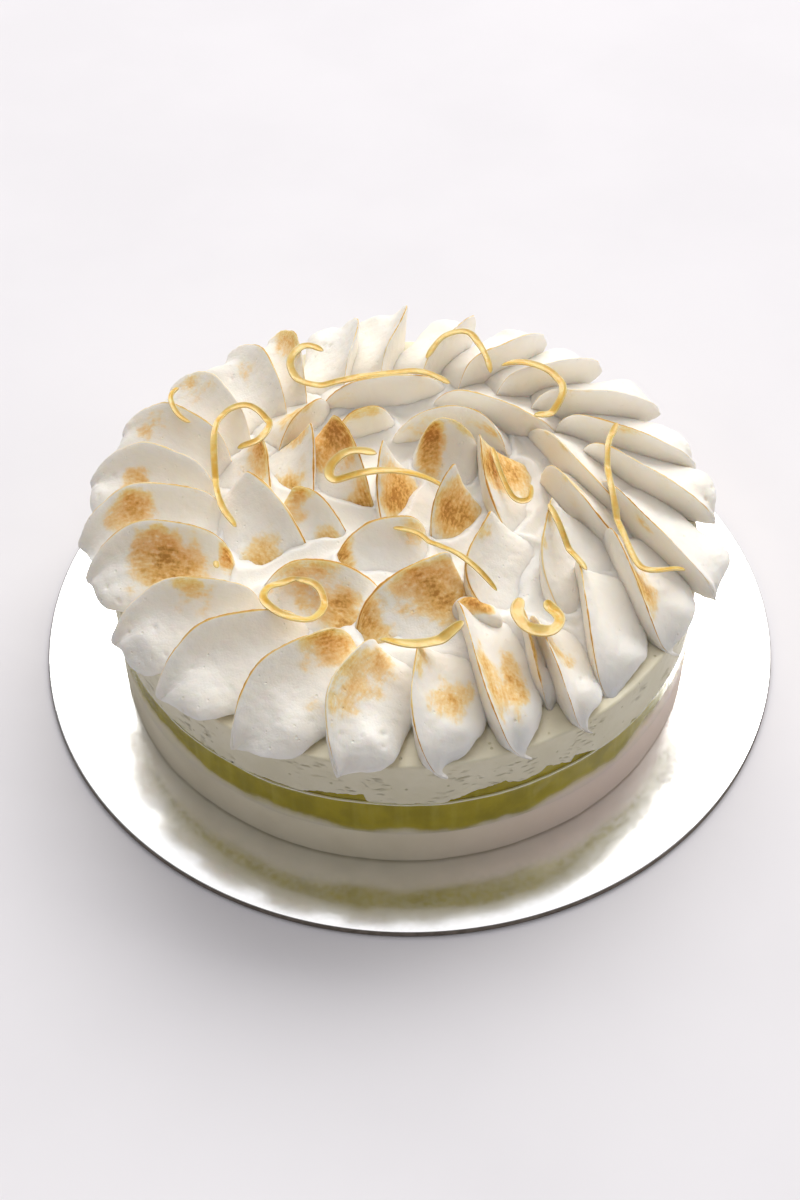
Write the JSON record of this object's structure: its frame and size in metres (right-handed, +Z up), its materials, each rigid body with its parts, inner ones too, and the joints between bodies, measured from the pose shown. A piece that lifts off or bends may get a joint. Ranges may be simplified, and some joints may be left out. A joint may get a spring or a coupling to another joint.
{
  "type": "lemon meringue cake",
  "caption": "Round layered lemon cake with a curd band, a cream layer, rings of torched piped meringue petals and curls of lemon peel on top, on a round foil-faced card.",
  "frame": {"origin": "centre of the card's underside, on the surface that it stands on", "axes": "+Z up through the cake; -Y towards the front, where the layers' edge shows chipped under the cream; +X to the right"},
  "size_m": [0.254, 0.254, 0.0788],
  "materials": {
    "foil_card": "bright silver foil face with faint wrinkles on grey card",
    "base": "smooth set off-white cream, satin",
    "curd": "translucent lemon curd, softly glossy",
    "cream": "set cream with fine air pits, satin",
    "meringue": "smooth piped meringue, torched golden brown in patches and along the crests",
    "peel": "candied lemon peel, translucent and moist"
  },
  "bodies": {
    "root": {"foil_card": "foil_card", "base_layer": "base", "curd_layer": "curd", "cream_layer": "cream", "rim_petal_01": "meringue", "rim_petal_02": "meringue", "rim_petal_03": "meringue", "rim_petal_04": "meringue", "rim_petal_05": "meringue", "rim_petal_06": "meringue", "rim_petal_07": "meringue", "rim_petal_08": "meringue", "rim_petal_09": "meringue", "rim_petal_10": "meringue", "rim_petal_11": "meringue", "rim_petal_12": "meringue", "rim_petal_13": "meringue", "rim_petal_14": "meringue", "rim_petal_15": "meringue", "rim_petal_16": "meringue", "rim_petal_17": "meringue", "rim_petal_18": "meringue", "rim_petal_19": "meringue", "rim_petal_20": "meringue", "rim_petal_21": "meringue", "rim_petal_22": "meringue", "rim_petal_23": "meringue", "rim_petal_24": "meringue", "rim_petal_25": "meringue", "rim_petal_26": "meringue", "middle_petal_01": "meringue", "middle_petal_02": "meringue", "middle_petal_03": "meringue", "middle_petal_04": "meringue", "middle_petal_05": "meringue", "middle_petal_06": "meringue", "middle_petal_07": "meringue", "middle_petal_08": "meringue", "middle_petal_09": "meringue", "middle_petal_10": "meringue", "middle_petal_11": "meringue", "crown_petal_01": "meringue", "crown_petal_02": "meringue", "crown_petal_03": "meringue", "crown_petal_04": "meringue", "crown_petal_05": "meringue", "crown_petal_06": "meringue", "crown_petal_07": "meringue", "crown_petal_08": "meringue", "crown_petal_09": "meringue", "crown_petal_10": "meringue", "lemon_peel_1": "peel", "lemon_peel_2": "peel", "lemon_peel_3": "peel", "lemon_peel_4": "peel", "lemon_peel_5": "peel", "lemon_peel_6": "peel", "lemon_peel_7": "peel", "lemon_peel_8": "peel", "lemon_peel_9": "peel"}
  },
  "joints": []
}
